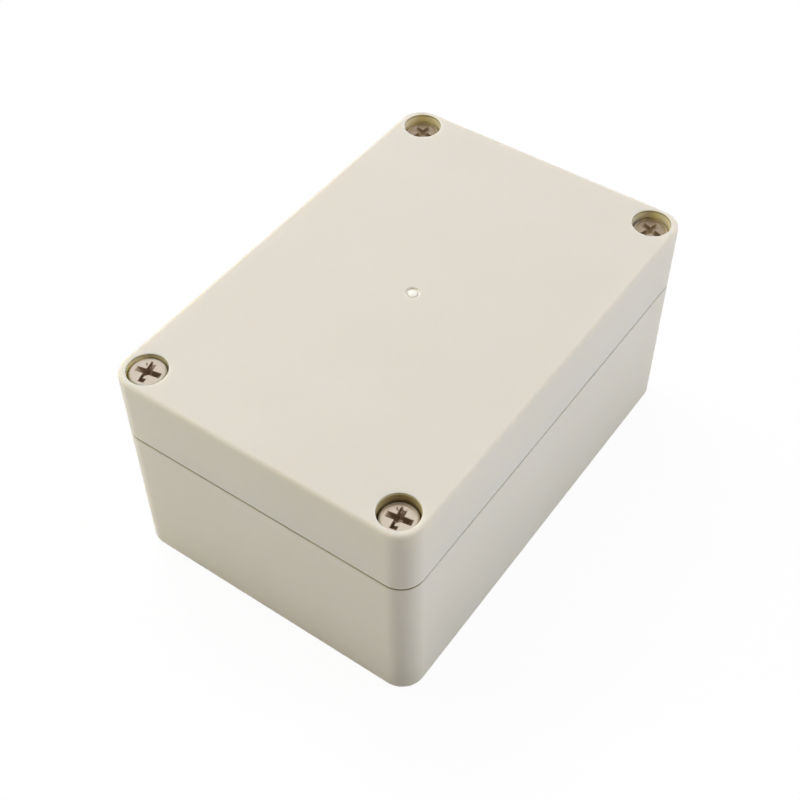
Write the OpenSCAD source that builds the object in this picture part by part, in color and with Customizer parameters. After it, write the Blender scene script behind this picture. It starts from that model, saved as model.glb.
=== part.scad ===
// Small sealed enclosure with a screwed lid, moulded in ABS.
// Millimetres, +Z up. The origin is the centre of the underside.
// X runs along the long side and Y along the short side.

/* [Box] */
// Outside length along X
box_l = 100; // [90:1:160]
// Outside width along Y
box_w = 68; // [60:1:120]
// Outside height with the lid closed
box_h = 50; // [46:1:90]
// Radius of the four upright outer corners
corner_r = 5; // [4:0.5:6]
// Radius along the lid's top edge
top_edge_r = 0.8; // [0.5:0.1:1.5]
// Radius along the base's bottom edge
bottom_edge_r = 1; // [0.5:0.1:1.5]
// Radius of the base's lip at the parting line
base_lip_r = 0.4; // [0.1:0.05:0.5]
// Radius of the lid's lip at the parting line
lid_lip_r = 0.2; // [0.1:0.05:0.4]

/* [Shells] */
// Height of the base up to its rim
base_h = 34.1; // [30:0.1:35]
// Visible gap between the base's rim and the lid's skirt
parting_gap = 0.4; // [0.2:0.05:0.8]
// Thickness of the upright walls
wall = 3; // [2.8:0.1:3.5]
// Thickness of the base's floor
floor_t = 2.5; // [2:0.1:4]
// Thickness of the lid's top plate
roof_t = 2.5; // [2:0.1:3.5]
// Radius of a corner column's inner side round its screw
column_r = 5.6; // [5.4:0.1:6.5]

/* [Seal] */
// Distance from the cavity to the tongue on the base's rim
tongue_inset = 1; // [0.8:0.1:1.1]
// Width of the tongue
tongue_w = 1; // [0.8:0.1:1.2]
// Height of the tongue above the rim
tongue_h = 1.3; // [0.8:0.1:2]
// Room on each side of the tongue in the lid's groove
groove_clearance = 0.25; // [0.15:0.05:0.3]
// Height of the gasket, pressed down
gasket_h = 1.9; // [1:0.1:2.5]
// Room between the gasket and each side of its groove
gasket_clearance = 0.1; // [0.05:0.05:0.15]

/* [Screws] */
// Distance of the screws from the short sides
screw_inset_x = 5.2; // [5:0.1:6]
// Distance of the screws from the long sides
screw_inset_y = 5.5; // [5:0.1:6]
// Screw thread diameter, nominal
screw_d = 4; // [3.5:0.5:4]
// Screw length under the head
screw_len = 20; // [18:1:22]
// Diameter of the pan head
head_d = 7.2; // [6.5:0.1:7.4]
// Height of the pan head
head_h = 2.6; // [2.2:0.1:3]
// Radius round the top of the pan head
head_edge_r = 0.5; // [0.3:0.1:1.5]
// Depth of a seated head's top below the lid's face
head_recess = 1.8; // [1:0.1:2.5]
// Room round a head in its counterbore
head_clearance = 0.4; // [0.2:0.05:0.6]
// Room round the shank in the lid
shank_clearance = 0.25; // [0.2:0.05:0.4]
// Depth of the bevel round a counterbore's mouth
mouth_bevel = 0.2; // [0.1:0.05:0.4]
// Diameter of the pad round each screw hole that lands on the base
landing_d = 6.2; // [5.8:0.1:6.4]
// How far the fourth screw is backed out of its seat
loose_screw_lift = 1.2; // [0:0.05:2]
// How far the cross of each screw is turned, in degrees
cross_turn = [10, 73, 78, 16];

/* [Cross recess] */
// Span of the cross at the top of the head
cross_span = 5.1; // [4:0.1:5.4]
// Width of the cross's wings
wing_w = 1.25; // [0.8:0.05:1.4]
// Depth of the cross
cross_depth = 1.9; // [1.5:0.1:2.2]
// Diameter of the cross at its bottom
cross_tip_d = 1.8; // [1.2:0.1:2.5]

/* [Thread inserts] */
// Outside diameter of an insert
insert_d = 5.6; // [5:0.1:5.8]
// Length of an insert
insert_len = 8; // [6:0.5:9]
// Radial running clearance of a screw in its insert
thread_clearance = 0.05; // [0.02:0.01:0.08]
// Width of the plain waist between an insert's two bands
waist_w = 1.6; // [1:0.1:2.5]
// Depth of the waist
waist_depth = 0.4; // [0.2:0.05:0.5]
// Diameter of the core hole under an insert
core_d = 4.6; // [4.4:0.1:5]
// Thickness left under the core hole, above the floor's own
core_floor = 1.5; // [1:0.5:4]

/* [Board posts] */
// Distance of the posts from the cavity's short sides
post_inset_x = 11; // [9:0.5:14]
// Distance of the posts from the cavity's long sides
post_inset_y = 11; // [9:0.5:14]
// Outside diameter of a post
post_d = 6; // [5:0.5:7]
// Height of a post above the floor
post_h = 5; // [3:0.5:8]
// Diameter of a post's pilot hole
pilot_d = 2.5; // [2:0.1:3]
// Depth of the pilot hole from the post's top
pilot_depth = 6; // [4:0.5:6.5]

/* [Gate marks] */
// Diameter of the round dimple at each moulding gate
dimple_d = 3.2; // [3:0.1:5]
// Depth of the dimple
dimple_depth = 0.45; // [0.2:0.05:0.6]
// Diameter of the gate's stub in the dimple
stub_d = 2.2; // [1.5:0.1:2.6]

/* [Hidden] */

$fn = 64;
cut = 0.5;

abs_grey = [0.86, 0.84, 0.79];
nickel = [0.78, 0.75, 0.70];
brass = [0.80, 0.65, 0.35];
black_rubber = [0.12, 0.12, 0.12];

lid_bottom_z = base_h + parting_gap;
lid_h = box_h - lid_bottom_z;
lid_ceiling_z = box_h - roof_t;

half_cavity_x = box_l / 2 - wall;
half_cavity_y = box_w / 2 - wall;

tongue_outset = tongue_inset + tongue_w;
tongue_top_z = base_h + tongue_h;
groove_inset = tongue_inset - groove_clearance;
groove_outset = tongue_outset + groove_clearance;
groove_top_z = tongue_top_z + gasket_h;

screw_x = box_l / 2 - screw_inset_x;
screw_y = box_w / 2 - screw_inset_y;
corners = [[-1, -1], [1, -1], [1, 1], [-1, 1]];

seat_z = box_h - head_recess - head_h;
counterbore_d = head_d + 2 * head_clearance;
shank_d = screw_d - 2 * thread_clearance;
shank_hole_d = screw_d + 2 * shank_clearance;
tip_chamfer = shank_d / 8;

insert_bottom_z = base_h - insert_len;
waist_z = insert_bottom_z + (insert_len - waist_w) / 2;
core_bottom_z = floor_t + core_floor;

post_x = half_cavity_x - post_inset_x;
post_y = half_cavity_y - post_inset_y;
post_top_z = floor_t + post_h;

// The stub is the cap of a ball that stands in the dimple, flush with the face round it.
stub_ball_r = (pow(stub_d / 2, 2) + pow(dimple_depth, 2)) / (2 * dimple_depth);

// Half of a shell's upright section, from its middle to reach, with both outer edges rounded.
module edge_profile(reach, height, top_r, bottom_r) {
  translate([0, bottom_r]) square([reach, height - top_r - bottom_r]);
  square([reach - bottom_r, height - top_r]);
  translate([0, bottom_r]) square([reach - top_r, height - bottom_r]);
  translate([reach - top_r, height - top_r]) circle(top_r);
  translate([reach - bottom_r, bottom_r]) circle(bottom_r);
}

// The same section across the whole shell.
module full_profile(reach, height, top_r, bottom_r) {
  edge_profile(reach, height, top_r, bottom_r);
  mirror([1, 0]) edge_profile(reach, height, top_r, bottom_r);
}

// The solid that a shell is cut from, with a rounded edge all the way round.
module shell_block(height, top_r, bottom_r) {
  straight_x = box_l - 2 * corner_r;
  straight_y = box_w - 2 * corner_r;
  rotate([90, 0, 90])
    linear_extrude(straight_x, center = true)
      full_profile(box_w / 2, height, top_r, bottom_r);
  rotate([90, 0, 0])
    linear_extrude(straight_y, center = true)
      full_profile(box_l / 2, height, top_r, bottom_r);
  for (i = [0 : 3])
    translate([corners[i][0] * straight_x / 2, corners[i][1] * straight_y / 2])
      rotate(i * 90 + 180)
        rotate_extrude(angle = 90)
          edge_profile(corner_r, height, top_r, bottom_r);
}

// The corner of the plan that a screw column takes from the cavity.
module column_plan(grow) {
  r = column_r - grow;
  circle(r);
  translate([-r, 0]) square([r + screw_inset_x + cut, screw_inset_y + cut]);
  translate([0, -r]) square([screw_inset_x + cut, r + screw_inset_y + cut]);
}

// Plan of the cavity between the columns, grown outwards evenly.
module cavity_plan(grow) {
  difference() {
    square([2 * (half_cavity_x + grow), 2 * (half_cavity_y + grow)], center = true);
    for (c = corners)
      translate([c[0] * screw_x, c[1] * screw_y])
        to_corner(c) column_plan(grow);
  }
}

// Turns a shape drawn for the +X +Y corner to another corner.
module to_corner(c) {
  mirror([c[0] < 0 ? 1 : 0, 0])
    mirror([0, c[1] < 0 ? 1 : 0])
      children();
}

// A band that follows the cavity's outline all the way round.
module seal_band(inner, outer, z, height) {
  translate([0, 0, z])
    linear_extrude(height)
      difference() {
        cavity_plan(outer);
        cavity_plan(inner);
      }
}

// Places a shape at each screw.
module at_screws() {
  for (c = corners)
    translate([c[0] * screw_x, c[1] * screw_y])
      children();
}

// Places a shape at each board post.
module at_posts() {
  for (c = corners)
    translate([c[0] * post_x, c[1] * post_y])
      children();
}

// Cuts a round dimple into a face at z = 0 from above, and leaves the gate's stub standing in it.
module gate_cut() {
  difference() {
    translate([0, 0, -dimple_depth]) cylinder(d = dimple_d, h = dimple_depth + cut);
    translate([0, 0, -stub_ball_r]) sphere(stub_ball_r);
  }
}

// The tub: walls, corner columns, rim tongue and board posts.
module base() {
  color(abs_grey)
    difference() {
      union() {
        difference() {
          shell_block(base_h, base_lip_r, bottom_edge_r);
          translate([0, 0, floor_t]) linear_extrude(base_h) cavity_plan(0);
        }
        seal_band(tongue_inset, tongue_outset, base_h - cut, tongue_h + cut);
        at_posts() translate([0, 0, floor_t - cut]) cylinder(d = post_d, h = post_h + cut);
      }
      at_screws() {
        translate([0, 0, insert_bottom_z]) cylinder(d = insert_d, h = base_h - insert_bottom_z + cut);
        translate([0, 0, core_bottom_z]) cylinder(d = core_d, h = base_h - core_bottom_z);
      }
      at_posts() translate([0, 0, post_top_z - pilot_depth]) cylinder(d = pilot_d, h = pilot_depth + cut);
      mirror([0, 0, 1]) gate_cut();
    }
}

// The hole for one screw in the lid: shank hole, counterbore and the bevel at its mouth.
module screw_hole() {
  translate([0, 0, base_h - cut]) cylinder(d = shank_hole_d, h = seat_z - base_h + 2 * cut);
  translate([0, 0, seat_z]) cylinder(d = counterbore_d, h = box_h - seat_z + cut);
  translate([0, 0, box_h - mouth_bevel])
    cylinder(d1 = counterbore_d, d2 = counterbore_d + 4 * mouth_bevel, h = 2 * mouth_bevel);
}

// The cap: skirt, counterbored corner bosses and the groove for the gasket.
module lid() {
  color(abs_grey)
    difference() {
      union() {
        translate([0, 0, lid_bottom_z]) shell_block(lid_h, top_edge_r, lid_lip_r);
        at_screws() translate([0, 0, base_h]) cylinder(d = landing_d, h = parting_gap + cut);
      }
      translate([0, 0, lid_bottom_z - cut])
        linear_extrude(lid_ceiling_z - lid_bottom_z + cut)
          cavity_plan(0);
      seal_band(groove_inset, groove_outset, lid_bottom_z - cut, groove_top_z - lid_bottom_z + cut);
      at_screws() screw_hole();
      translate([0, 0, box_h]) gate_cut();
    }
}

// The rubber band in the lid's groove, pressed on the tongue.
module gasket() {
  color(black_rubber)
    seal_band(groove_inset + gasket_clearance, groove_outset - gasket_clearance, tongue_top_z, gasket_h);
}

// Right half of a pan head's section.
module head_profile() {
  square([head_d / 2 - head_edge_r, head_h]);
  square([head_d / 2, head_h - head_edge_r]);
  translate([head_d / 2 - head_edge_r, head_h - head_edge_r])
    intersection() {
      circle(head_edge_r);
      square(head_edge_r);
    }
}

// The driver's recess, narrowing towards its bottom, with its top at z = 0.
module cross_recess() {
  intersection() {
    for (a = [0, 90])
      rotate(a)
        translate([-cross_span / 2, -wing_w / 2, -cross_depth])
          cube([cross_span, wing_w, cross_depth + cut]);
    union() {
      translate([0, 0, -cross_depth]) cylinder(d1 = cross_tip_d, d2 = cross_span, h = cross_depth);
      cylinder(d = cross_span, h = cut);
    }
  }
}

// A pan head screw whose head rests at z = 0.
module screw() {
  color(nickel)
    difference() {
      union() {
        rotate_extrude() head_profile();
        translate([0, 0, tip_chamfer - screw_len]) cylinder(d = shank_d, h = screw_len - tip_chamfer + cut);
        translate([0, 0, -screw_len])
          cylinder(d1 = shank_d - 2 * tip_chamfer, d2 = shank_d, h = tip_chamfer);
      }
      translate([0, 0, head_h]) cross_recess();
    }
}

// The screw of one corner. The last corner's screw isn't driven home.
module lid_screw(i) {
  lift = i == 3 ? loose_screw_lift : 0;
  translate([corners[i][0] * screw_x, corners[i][1] * screw_y, seat_z + lift])
    rotate(cross_turn[i])
      screw();
}

// A pressed-in brass bush with two bands and a plain waist.
module thread_insert(i) {
  color(brass)
    translate([corners[i][0] * screw_x, corners[i][1] * screw_y])
      difference() {
        translate([0, 0, insert_bottom_z]) cylinder(d = insert_d, h = insert_len);
        translate([0, 0, insert_bottom_z - cut]) cylinder(d = screw_d, h = insert_len + 2 * cut);
        translate([0, 0, waist_z])
          difference() {
            cylinder(d = insert_d + 2 * cut, h = waist_w);
            translate([0, 0, -cut]) cylinder(d = insert_d - 2 * waist_depth, h = waist_w + 2 * cut);
          }
      }
}

base();
lid();
gasket();
for (i = [0 : 3]) {
  lid_screw(i);
  thread_insert(i);
}
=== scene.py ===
"""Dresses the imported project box: two moulded shells, four screws, four thread inserts and a gasket."""

import logging
import math
from dataclasses import dataclass
from enum import Enum
from typing import Callable, Iterable, Sequence

import bmesh
import bpy
from bpy.types import Material, Mesh, Node, NodeSocket, NodeTree, Object, bpy_prop_collection
from mathutils import Matrix, Vector


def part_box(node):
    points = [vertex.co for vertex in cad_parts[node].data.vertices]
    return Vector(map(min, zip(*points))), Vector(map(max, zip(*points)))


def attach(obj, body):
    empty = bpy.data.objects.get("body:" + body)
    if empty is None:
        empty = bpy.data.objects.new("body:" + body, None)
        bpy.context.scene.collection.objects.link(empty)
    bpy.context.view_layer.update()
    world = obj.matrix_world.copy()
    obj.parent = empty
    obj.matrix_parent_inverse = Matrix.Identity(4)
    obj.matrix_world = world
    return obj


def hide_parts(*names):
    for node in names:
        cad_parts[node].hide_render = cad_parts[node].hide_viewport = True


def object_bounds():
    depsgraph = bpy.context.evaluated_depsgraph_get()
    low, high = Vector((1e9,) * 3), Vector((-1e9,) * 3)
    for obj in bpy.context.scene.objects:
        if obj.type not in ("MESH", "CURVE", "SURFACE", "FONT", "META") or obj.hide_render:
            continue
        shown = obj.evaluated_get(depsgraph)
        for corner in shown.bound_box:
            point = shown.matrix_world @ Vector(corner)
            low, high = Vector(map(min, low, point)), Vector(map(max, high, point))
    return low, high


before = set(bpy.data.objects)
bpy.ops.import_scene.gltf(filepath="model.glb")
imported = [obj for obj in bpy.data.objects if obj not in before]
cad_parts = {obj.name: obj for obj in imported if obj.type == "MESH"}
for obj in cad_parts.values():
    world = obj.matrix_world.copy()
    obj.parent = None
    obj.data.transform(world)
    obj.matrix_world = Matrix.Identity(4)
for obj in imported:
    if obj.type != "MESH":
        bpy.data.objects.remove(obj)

CAD_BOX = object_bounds()
MM = 0.001
WELD = 0.002 * MM
HAIR = 0.01 * MM
PARTING_GAP = 0.4 * MM
SEAT_GAP = 0.02 * MM
WHITE = (1.0, 1.0, 1.0, 1.0)
SIGNS = ((-1, -1), (1, -1), (1, 1), (-1, 1))
LOG = logging.getLogger("project_box")

Point = tuple[float, float]
Outline = Callable[[float], list[Point]]
Ring = list[bmesh.types.BMVert]
Four = tuple[float, float, float, float]
Inputs = dict[str | int, object]


class Tone(Enum):
    """How a moulded surface looks, kept in the mesh's tone attribute: glossy with a painted highlight, open,
    or with painted shade or painted light at the foot, at a lip or down in a recess.
    """

    # The first tone is glossy with a painted highlight; the foot, lip, wall and well tones are painted
    # shade, and the pale tone is painted light.
    SMOOTH = -1.0
    OPEN = 0.0
    FOOT = 0.03
    LIP = 0.3
    PALE = 0.5
    WALL = 0.75
    WELL = 1.0


class Corner(Enum):
    """The four corners of the box, in the order of the numbered screws and inserts."""

    FRONT_LEFT = 1
    FRONT_RIGHT = 2
    BACK_RIGHT = 3
    BACK_LEFT = 4

    def named(self, stem: str) -> str:
        """The name of this corner's piece, body or node, such as lid_screw_1."""
        return f"{stem}_{self.value}"


def linear(hex_colour: str) -> Four:
    """Turns an sRGB colour into the linear values that shaders take.

    Args:
        hex_colour: Six hex digits, such as "d9d2c4".

    Returns:
        Linear red, green, blue and an alpha of 1.
    """
    parts = [int(hex_colour[i : i + 2], 16) / 255 for i in (0, 2, 4)]
    red, green, blue = (p / 12.92 if p <= 0.04045 else ((p + 0.055) / 1.055) ** 2.4 for p in parts)
    return red, green, blue, 1.0


def add_node(tree: NodeTree, kind: str, inputs: Inputs | None = None, **settings: object) -> Node:
    """Adds one node, sets it up and wires its inputs.

    Args:
        tree: The shader or geometry tree that gets the node.
        kind: Blender's name for the type of node.
        inputs: What its inputs take, by name or number: a value, a socket, or a node's first output.
        settings: Values of the node's own settings.

    Returns:
        The new node.
    """
    node = tree.nodes.new(kind)
    for name, value in settings.items():
        setattr(node, name, value)
    for key, value in (inputs or {}).items():
        source = value.outputs[0] if isinstance(value, Node) else value
        if isinstance(source, NodeSocket):
            tree.links.new(source, node.inputs[key])
        else:
            node.inputs[key].default_value = source
    return node


def new_material(name: str) -> tuple[Material, NodeTree, NodeSocket]:
    """Starts a material with an empty tree.

    Args:
        name: The material's name.

    Returns:
        The material, its tree and the place on the object, which its patterns follow.
    """
    material = bpy.data.materials.new(name)
    material.use_nodes = True
    material.node_tree.nodes.clear()
    return material, material.node_tree, add_node(material.node_tree, "ShaderNodeTexCoord").outputs["Object"]


@dataclass(frozen=True)
class MouldedAbs:
    """Injection moulded ABS, warm light grey: even, satin, with a fine sparked grain off the mould."""

    name: str = "abs_moulded_satin"
    colour: str = "dcd5c8"
    mottle_colour: str = "d8d0c1"
    # The lip, wall and well colours are painted shade, and the lip colour also colours the specks; the pale
    # colour is painted light; the smooth colour is a painted highlight on the gate.
    lip_shade_and_speck_colour: str = "8a8048"
    pale_light_colour: str = "e4dcc0"
    wall_shade_colour: str = "aa9a68"
    well_shade_colour: str = "c4b184"
    smooth_highlight_colour: str = "fbf4e6"
    smooth_roughness: float = 0.16
    roughness: float = 0.46
    roughness_swing: float = 0.05
    scatter: float = 0.8
    scatter_share: tuple[float, float, float] = (1.0, 0.9, 0.68)
    scatter_reach: float = 2.5 * MM
    ior: float = 1.54
    grain: float = 0.35 * MM
    grain_bump: float = 0.10
    grain_depth: float = 0.02 * MM
    mottle: float = 24.0 * MM
    speck: float = 1.6 * MM
    speck_share: float = 0.035

    def material(self) -> Material:
        """Builds the ABS: mottled colour, grain in its gloss and bump, and painted shade and light at the
        lips, the foot and in the recesses.

        Returns:
            The material.
        """
        material, tree, place = new_material(self.name)
        speckled = self._pigment(tree, place)
        # Painted shade and light by the tone attribute: the lips, the foot and the nearest bore darker and
        # olive, the other bores' walls paler and warmer.
        tone = add_node(tree, "ShaderNodeAttribute", attribute_name="tone").outputs["Fac"]
        ramp = add_node(tree, "ShaderNodeValToRGB", {"Fac": tone})
        stops = ramp.color_ramp.elements
        stops[0].color = WHITE
        stops[1].color = self._against_body(self.well_shade_colour)
        painted_tints = ((Tone.LIP, self.lip_shade_and_speck_colour), (Tone.PALE, self.pale_light_colour), (Tone.WALL, self.wall_shade_colour))
        for level, painted_band in painted_tints:
            stops.new(level.value).color = self._against_body(painted_band)
        tinted = {0: 1.0, 6: speckled, 7: ramp}
        shaded = add_node(tree, "ShaderNodeMix", tinted, data_type="RGBA", blend_type="MULTIPLY").outputs[2]
        # Where the plastic froze against the polished gate it has no grain, so it is glossy; its brighter
        # colour there is a painted highlight.
        smooth = add_node(tree, "ShaderNodeMapRange", {"Value": tone, "From Min": 0.0, "From Max": -1.0})
        ends = {0: smooth, 6: shaded, 7: linear(self.smooth_highlight_colour)}
        colour = add_node(tree, "ShaderNodeMix", ends, data_type="RGBA").outputs[2]
        # The grain's real pits are under 0.1 mm across: it is drawn coarser, so that it shows.
        pits = {"Vector": place, "Scale": 1 / self.grain, "Detail": 2.0, "Roughness": 0.6}
        grain = add_node(tree, "ShaderNodeTexNoise", pits)
        low, high = self.roughness - self.roughness_swing, self.roughness + self.roughness_swing
        satin = add_node(tree, "ShaderNodeMapRange", {"Value": grain, "To Min": low, "To Max": high})
        ends = {0: smooth, 2: satin, 3: self.smooth_roughness}
        gloss = add_node(tree, "ShaderNodeMix", ends, data_type="FLOAT")
        depth, milky = (
            add_node(tree, "ShaderNodeMapRange", {"Value": smooth, "To Min": full, "To Max": 0.0})
            for full in (self.grain_bump, self.scatter)
        )
        relief = {"Strength": depth, "Distance": self.grain_depth, "Height": grain}
        bump = add_node(tree, "ShaderNodeBump", relief)
        surface = {
            "Base Color": colour,
            "Roughness": gloss,
            "IOR": self.ior,
            "Normal": bump,
            "Subsurface Weight": milky,
            "Subsurface Radius": self.scatter_share,
            "Subsurface Scale": self.scatter_reach,
        }
        add_node(tree, "ShaderNodeOutputMaterial", {0: add_node(tree, "ShaderNodeBsdfPrincipled", surface)})
        return material

    def _pigment(self, tree: NodeTree, place: NodeSocket) -> NodeSocket:
        """Builds the body's colour.

        Args:
            tree: The material's tree.
            place: The place on the object.

        Returns:
            The colour, with its drift and its specks.
        """
        # The pigment is not quite even, so the colour drifts over a few centimetres.
        waves = {"Vector": place, "Scale": 1 / self.mottle, "Detail": 3.0, "Roughness": 0.55}
        mottle = add_node(tree, "ShaderNodeTexNoise", waves)
        ends = {0: mottle, 6: linear(self.colour), 7: linear(self.mottle_colour)}
        drift = add_node(tree, "ShaderNodeMix", ends, data_type="RGBA").outputs[2]
        # Stray pigment grains: a few of the cells of a fine pattern are a shade darker at their middle.
        pattern = {"Vector": place, "Scale": 1 / self.speck, "Randomness": 1.0}
        cells = add_node(tree, "ShaderNodeTexVoronoi", pattern).outputs
        fade = {"Value": cells["Distance"], "From Min": 0.04, "From Max": 0.09, "To Min": 1.0, "To Max": 0.0}
        near = add_node(tree, "ShaderNodeMapRange", fade)
        drawn = {0: cells["Color"], 1: self.speck_share}
        chosen = add_node(tree, "ShaderNodeMath", drawn, operation="LESS_THAN")
        speck = add_node(tree, "ShaderNodeMath", {0: near, 1: chosen}, operation="MULTIPLY")
        ends = {0: speck, 6: drift, 7: linear(self.lip_shade_and_speck_colour)}
        return add_node(tree, "ShaderNodeMix", ends, data_type="RGBA").outputs[2]

    def _against_body(self, hex_colour: str) -> Four:
        """Works out a tint.

        Args:
            hex_colour: The colour that a place should have.

        Returns:
            The factor that turns the body's colour into it.
        """
        body = linear(self.colour)
        other = linear(hex_colour)
        return other[0] / body[0], other[1] / body[1], other[2] / body[2], 1.0


@dataclass(frozen=True)
class TurnedMetal:
    """A metal surface off a lathe or header, with a fine bump from its making and small patches of wear."""

    name: str
    colour: str
    worn_colour: str
    roughness: float
    patch: float
    mark: float = 0.12 * MM
    bump: float = 0.3
    metallic: float = 1.0
    depth: float = 0.01 * MM
    brighter: float = 0.07
    duller: float = 0.10

    def material(self) -> Material:
        """Builds the metal: patchy colour and gloss, with a fine bump from its making.

        Returns:
            The material.
        """
        material, tree, place = new_material(self.name)
        clouds = {"Vector": place, "Scale": 1 / self.patch, "Detail": 4.0, "Roughness": 0.6}
        patch = add_node(tree, "ShaderNodeTexNoise", clouds)
        ends = {0: patch, 6: linear(self.colour), 7: linear(self.worn_colour)}
        colour = add_node(tree, "ShaderNodeMix", ends, data_type="RGBA").outputs[2]
        low, high = self.roughness - self.brighter, self.roughness + self.duller
        gloss = add_node(tree, "ShaderNodeMapRange", {"Value": patch, "To Min": low, "To Max": high})
        fine = add_node(tree, "ShaderNodeTexNoise", {"Vector": place, "Scale": 1 / self.mark, "Detail": 2.0})
        relief = {"Strength": self.bump, "Distance": self.depth, "Height": fine}
        bump = add_node(tree, "ShaderNodeBump", relief)
        surface = {"Base Color": colour, "Metallic": self.metallic, "Roughness": gloss, "Normal": bump}
        add_node(tree, "ShaderNodeOutputMaterial", {0: add_node(tree, "ShaderNodeBsdfPrincipled", surface)})
        return material


@dataclass(frozen=True)
class MouldedRubber:
    """Black foamed rubber, dull, with the open pores of a cut cord."""

    name: str = "rubber_foamed"
    colour: str = "26262a"
    pore_colour: str = "151517"
    roughness: float = 0.82
    ior: float = 1.5
    pore: float = 0.4 * MM
    bump: float = 0.4
    depth: float = 0.05 * MM

    def material(self) -> Material:
        """Builds the rubber: pores in its colour and bump.

        Returns:
            The material.
        """
        material, tree, place = new_material(self.name)
        cells = add_node(tree, "ShaderNodeTexVoronoi", {"Vector": place, "Scale": 1 / self.pore})
        pores = cells.outputs["Distance"]
        ends = {0: pores, 6: linear(self.pore_colour), 7: linear(self.colour)}
        colour = add_node(tree, "ShaderNodeMix", ends, data_type="RGBA").outputs[2]
        relief = {"Strength": self.bump, "Distance": self.depth, "Height": pores}
        bump = add_node(tree, "ShaderNodeBump", relief)
        surface = {"Base Color": colour, "Roughness": self.roughness, "IOR": self.ior, "Normal": bump}
        add_node(tree, "ShaderNodeOutputMaterial", {0: add_node(tree, "ShaderNodeBsdfPrincipled", surface)})
        return material


def bend(centre: Point, radius: float, start: float, end: float, steps: int) -> list[Point]:
    """Points along an arc of so many chords, from its start to its end angle in degrees."""
    angles = [math.radians(start + (end - start) * k / steps) for k in range(steps + 1)]
    return [(centre[0] + radius * math.cos(a), centre[1] + radius * math.sin(a)) for a in angles]


def circle(x: float, y: float, sides: int) -> Outline:
    """The outline of a round piece at x, y, as a function of its radius."""
    return lambda radius: bend((x, y), radius, 0, 360, sides)[:-1]


def evaluated_mesh(thing: Object) -> Mesh:
    """Makes a plain mesh of an object as its modifiers leave it.

    Args:
        thing: The object, which is removed.

    Returns:
        A mesh of its own, with no modifier behind it.
    """
    bpy.context.view_layer.update()
    result = bpy.data.meshes.new_from_object(thing.evaluated_get(bpy.context.evaluated_depsgraph_get()))
    thing.modifiers.clear()
    bpy.data.objects.remove(thing)
    return result


def in_scene(name: str, data: Mesh) -> Object:
    """Puts a mesh in the scene.

    Args:
        name: The new object's name.
        data: Its mesh.

    Returns:
        The object, at the origin.
    """
    thing = bpy.data.objects.new(name, data)
    bpy.context.scene.collection.objects.link(thing)
    return thing


@dataclass(frozen=True)
class BoxPlan:
    """The box's plan view: its outside, the cavity between the screw columns, and the screws, in metres."""

    half_x: float
    half_y: float
    screw_x: float
    screw_y: float
    corner_r: float = 5.0 * MM
    wall: float = 3.0 * MM
    column_r: float = 5.6 * MM
    corner_steps: int = 14

    def outside(self, inset: float) -> list[Point]:
        """The outer outline, drawn in evenly.

        Args:
            inset: How far it is drawn in.

        Returns:
            Its points.
        """
        radius = self.corner_r - inset
        x, y = self.half_x - self.corner_r, self.half_y - self.corner_r
        points: list[Point] = []
        for k, (sx, sy) in enumerate(((1, 1), (-1, 1), (-1, -1), (1, -1))):
            points += bend((sx * x, sy * y), radius, 90 * k, 90 * k + 90, self.corner_steps)
        return points

    def cavity(self, grow: float) -> list[Point]:
        """The cavity's outline between the columns, drawn out evenly.

        Args:
            grow: How far it is drawn out.

        Returns:
            Its points.
        """
        x, y = self.half_x - self.wall + grow, self.half_y - self.wall + grow
        radius = self.column_r - grow
        notch = [(x, self.screw_y - radius)]
        notch += bend((self.screw_x, self.screw_y), radius, 270, 180, self.corner_steps)
        notch += [(self.screw_x - radius, y)]
        points: list[Point] = []
        for sx, sy in ((1, 1), (-1, 1), (-1, -1), (1, -1)):
            corner = [(sx * px, sy * py) for px, py in notch]
            points += corner if sx == sy else corner[::-1]
        return points

    def screws(self) -> list[Point]:
        """The screws' axes, in the order of Corner."""
        return [(sx * self.screw_x, sy * self.screw_y) for sx, sy in SIGNS]


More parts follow.
